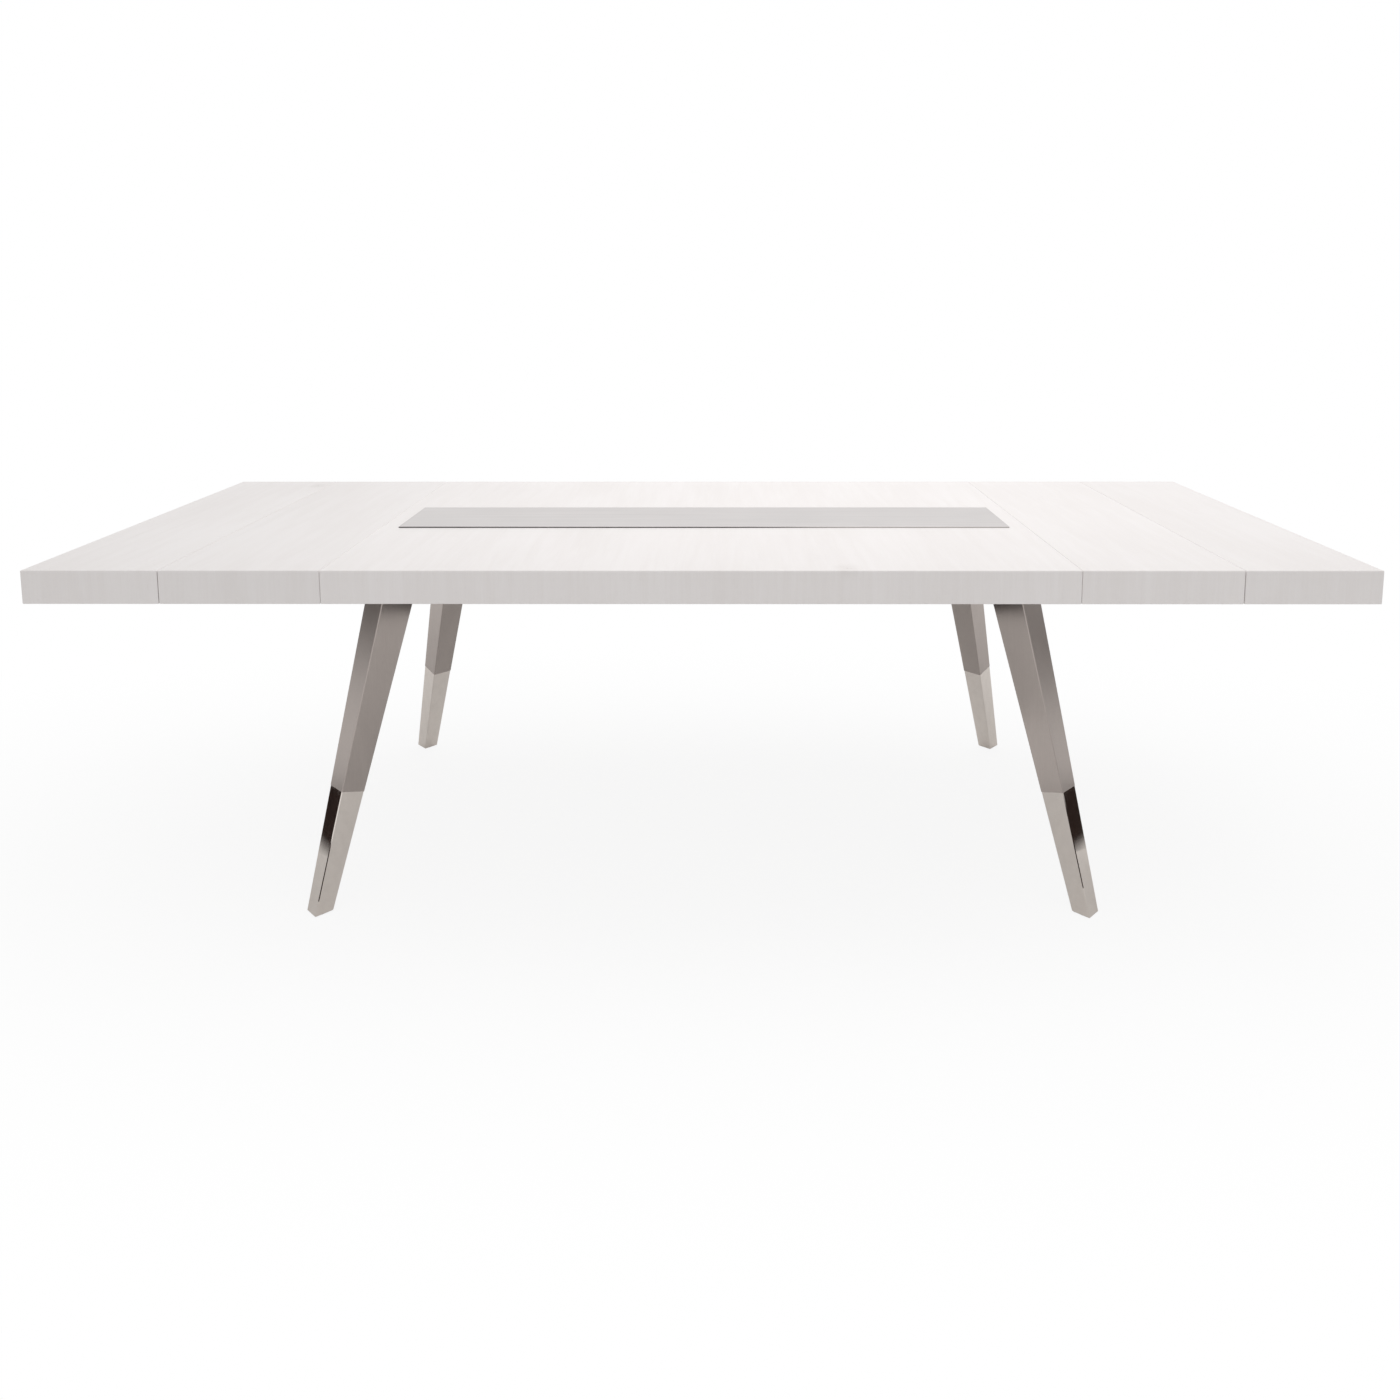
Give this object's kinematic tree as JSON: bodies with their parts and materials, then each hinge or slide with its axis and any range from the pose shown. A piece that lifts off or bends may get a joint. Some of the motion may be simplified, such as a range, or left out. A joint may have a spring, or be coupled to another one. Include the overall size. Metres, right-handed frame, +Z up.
{
  "type": "extendable dining table",
  "caption": "Long rectangular dining table with a thick pale top, loose leaves over pull-out ends, a set-in steel plate and splayed tapered steel legs with polished feet.",
  "frame": {"origin": "on the floor, under the middle of the table", "axes": "+X along the length, +Z up; the front is at -Y"},
  "size_m": [2.68, 1.016, 0.765],
  "materials": {
    "white_wood": "white bleached veneer under a satin lacquer",
    "inlay_steel": "brushed along the length",
    "leg_steel": "brushed along the leg",
    "polished_steel": "mirror polished",
    "frame_paint": "satin black powder coat",
    "loper_zinc": "dull zinc plate",
    "fastener_zinc": "bright zinc plate",
    "roller_nylon": "natural nylon",
    "bearer_nylon": "natural nylon strip",
    "glide_nylon": "grey nylon",
    "plug_plastic": "black moulded plastic",
    "packer_ply": "clear sealed plywood"
  },
  "bodies": {
    "frame": {"centre_front_edge": "white_wood", "centre_panel": "white_wood", "centre_rear_edge": "white_wood", "foot_glides": "glide_nylon", "front_frame_rail": "frame_paint", "front_left_leg_cap": "polished_steel", "front_left_leg_plate": "frame_paint", "front_left_leg_shaft": "leg_steel", "front_right_leg_cap": "polished_steel", "front_right_leg_plate": "frame_paint", "front_right_leg_shaft": "leg_steel", "inlay_plate": "inlay_steel", "left_cross_rail": "frame_paint", "middle_cross_rail": "frame_paint", "rail_end_plugs": "plug_plastic", "rear_frame_rail": "frame_paint", "rear_left_leg_cap": "polished_steel", "rear_left_leg_plate": "frame_paint", "rear_left_leg_shaft": "leg_steel", "rear_right_leg_cap": "polished_steel", "rear_right_leg_plate": "frame_paint", "rear_right_leg_shaft": "leg_steel", "right_cross_rail": "frame_paint", "roller_axles": "fastener_zinc"},
    "left_end": {"left_end_front_edge": "white_wood", "left_end_outer_edge": "white_wood", "left_end_packers": "packer_ply", "left_end_panel": "white_wood", "left_end_rear_edge": "white_wood", "left_front_loper": "loper_zinc", "left_loper_stops": "fastener_zinc", "left_rear_loper": "loper_zinc"},
    "left_leaf": {"left_leaf_bearers": "bearer_nylon", "left_leaf_front_edge": "white_wood", "left_leaf_panel": "white_wood", "left_leaf_pins": "fastener_zinc", "left_leaf_rear_edge": "white_wood"},
    "right_end": {"right_end_front_edge": "white_wood", "right_end_outer_edge": "white_wood", "right_end_packers": "packer_ply", "right_end_panel": "white_wood", "right_end_rear_edge": "white_wood", "right_front_loper": "loper_zinc", "right_loper_stops": "fastener_zinc", "right_rear_loper": "loper_zinc"},
    "right_leaf": {"right_leaf_bearers": "bearer_nylon", "right_leaf_front_edge": "white_wood", "right_leaf_panel": "white_wood", "right_leaf_pins": "fastener_zinc", "right_leaf_rear_edge": "white_wood"},
    "left_front_mouth_roller": {"left_front_mouth_roller": "roller_nylon"},
    "left_front_tail_roller": {"left_front_tail_roller": "roller_nylon"},
    "left_rear_mouth_roller": {"left_rear_mouth_roller": "roller_nylon"},
    "left_rear_tail_roller": {"left_rear_tail_roller": "roller_nylon"},
    "right_front_mouth_roller": {"right_front_mouth_roller": "roller_nylon"},
    "right_front_tail_roller": {"right_front_tail_roller": "roller_nylon"},
    "right_rear_mouth_roller": {"right_rear_mouth_roller": "roller_nylon"},
    "right_rear_tail_roller": {"right_rear_tail_roller": "roller_nylon"}
  },
  "joints": [
    {"name": "left_end_slide", "type": "slide", "parent": "frame", "child": "left_end", "axis": [-1, 0, 0], "range_m": [0, 0.08]},
    {"name": "left_leaf_lift", "type": "slide", "parent": "left_end", "child": "left_leaf", "axis": [0, 0, 1], "range_m": [0, 0.25]},
    {"name": "right_end_slide", "type": "slide", "parent": "frame", "child": "right_end", "axis": [1, 0, 0], "range_m": [0, 0.08]},
    {"name": "right_leaf_lift", "type": "slide", "parent": "right_end", "child": "right_leaf", "axis": [0, 0, 1], "range_m": [0, 0.25]},
    {"name": "left_front_mouth_roller_spin", "type": "hinge", "parent": "frame", "child": "left_front_mouth_roller", "pos_m": [-0.715, -0.3258, 0.71825], "axis": [0, 1, 0], "range_deg": [-345, 0]},
    {"name": "left_front_tail_roller_spin", "type": "hinge", "parent": "frame", "child": "left_front_tail_roller", "pos_m": [-0.515, -0.3258, 0.71825], "axis": [0, 1, 0], "range_deg": [0, 345]},
    {"name": "left_rear_mouth_roller_spin", "type": "hinge", "parent": "frame", "child": "left_rear_mouth_roller", "pos_m": [-0.715, 0.3258, 0.71825], "axis": [0, 1, 0], "range_deg": [-345, 0]},
    {"name": "left_rear_tail_roller_spin", "type": "hinge", "parent": "frame", "child": "left_rear_tail_roller", "pos_m": [-0.515, 0.3258, 0.71825], "axis": [0, 1, 0], "range_deg": [0, 345]},
    {"name": "right_front_mouth_roller_spin", "type": "hinge", "parent": "frame", "child": "right_front_mouth_roller", "pos_m": [0.715, -0.3258, 0.71825], "axis": [0, 1, 0], "range_deg": [0, 345]},
    {"name": "right_front_tail_roller_spin", "type": "hinge", "parent": "frame", "child": "right_front_tail_roller", "pos_m": [0.515, -0.3258, 0.71825], "axis": [0, 1, 0], "range_deg": [-345, 0]},
    {"name": "right_rear_mouth_roller_spin", "type": "hinge", "parent": "frame", "child": "right_rear_mouth_roller", "pos_m": [0.715, 0.3258, 0.71825], "axis": [0, 1, 0], "range_deg": [0, 345]},
    {"name": "right_rear_tail_roller_spin", "type": "hinge", "parent": "frame", "child": "right_rear_tail_roller", "pos_m": [0.515, 0.3258, 0.71825], "axis": [0, 1, 0], "range_deg": [-345, 0]}
  ],
  "couplings": [
    {"joint": "left_front_mouth_roller_spin", "follows": "left_end_slide", "rad_per_m": -74.349},
    {"joint": "left_front_tail_roller_spin", "follows": "left_end_slide", "rad_per_m": 74.349},
    {"joint": "left_rear_mouth_roller_spin", "follows": "left_end_slide", "rad_per_m": -74.349},
    {"joint": "left_rear_tail_roller_spin", "follows": "left_end_slide", "rad_per_m": 74.349},
    {"joint": "right_front_mouth_roller_spin", "follows": "right_end_slide", "rad_per_m": 74.349},
    {"joint": "right_front_tail_roller_spin", "follows": "right_end_slide", "rad_per_m": -74.349},
    {"joint": "right_rear_mouth_roller_spin", "follows": "right_end_slide", "rad_per_m": 74.349},
    {"joint": "right_rear_tail_roller_spin", "follows": "right_end_slide", "rad_per_m": -74.349}
  ]
}
